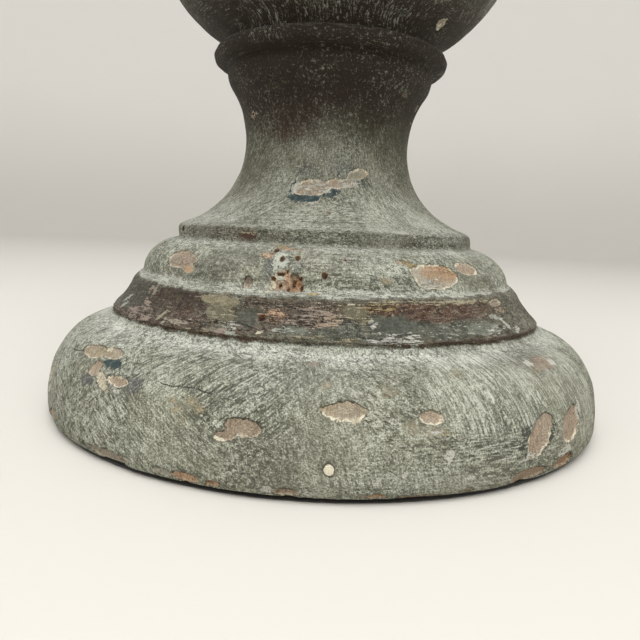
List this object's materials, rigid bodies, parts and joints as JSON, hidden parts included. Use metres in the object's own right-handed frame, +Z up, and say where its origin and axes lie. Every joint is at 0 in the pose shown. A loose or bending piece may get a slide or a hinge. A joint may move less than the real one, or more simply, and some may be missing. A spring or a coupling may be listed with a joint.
{
  "type": "turned wooden spire",
  "caption": "Free-standing turned and painted spire finial: domed moulded foot, flared neck, urn, tapering shaft and pointed tip, on a felt pad.",
  "frame": {"origin": "on the turning axis, at the underside of the felt pad", "axes": "+Z up the turning axis to the point; -Y towards the side seen in the picture"},
  "size_m": [0.2316, 0.2316, 0.76],
  "materials": {
    "distressed_paint": "matt grey-green paint, dry-brushed white and chipped to wood",
    "felt": "black felt with a fuzzy cut edge"
  },
  "bodies": {
    "root": {"turned_spire": "distressed_paint", "felt_pad": "felt"}
  },
  "joints": []
}
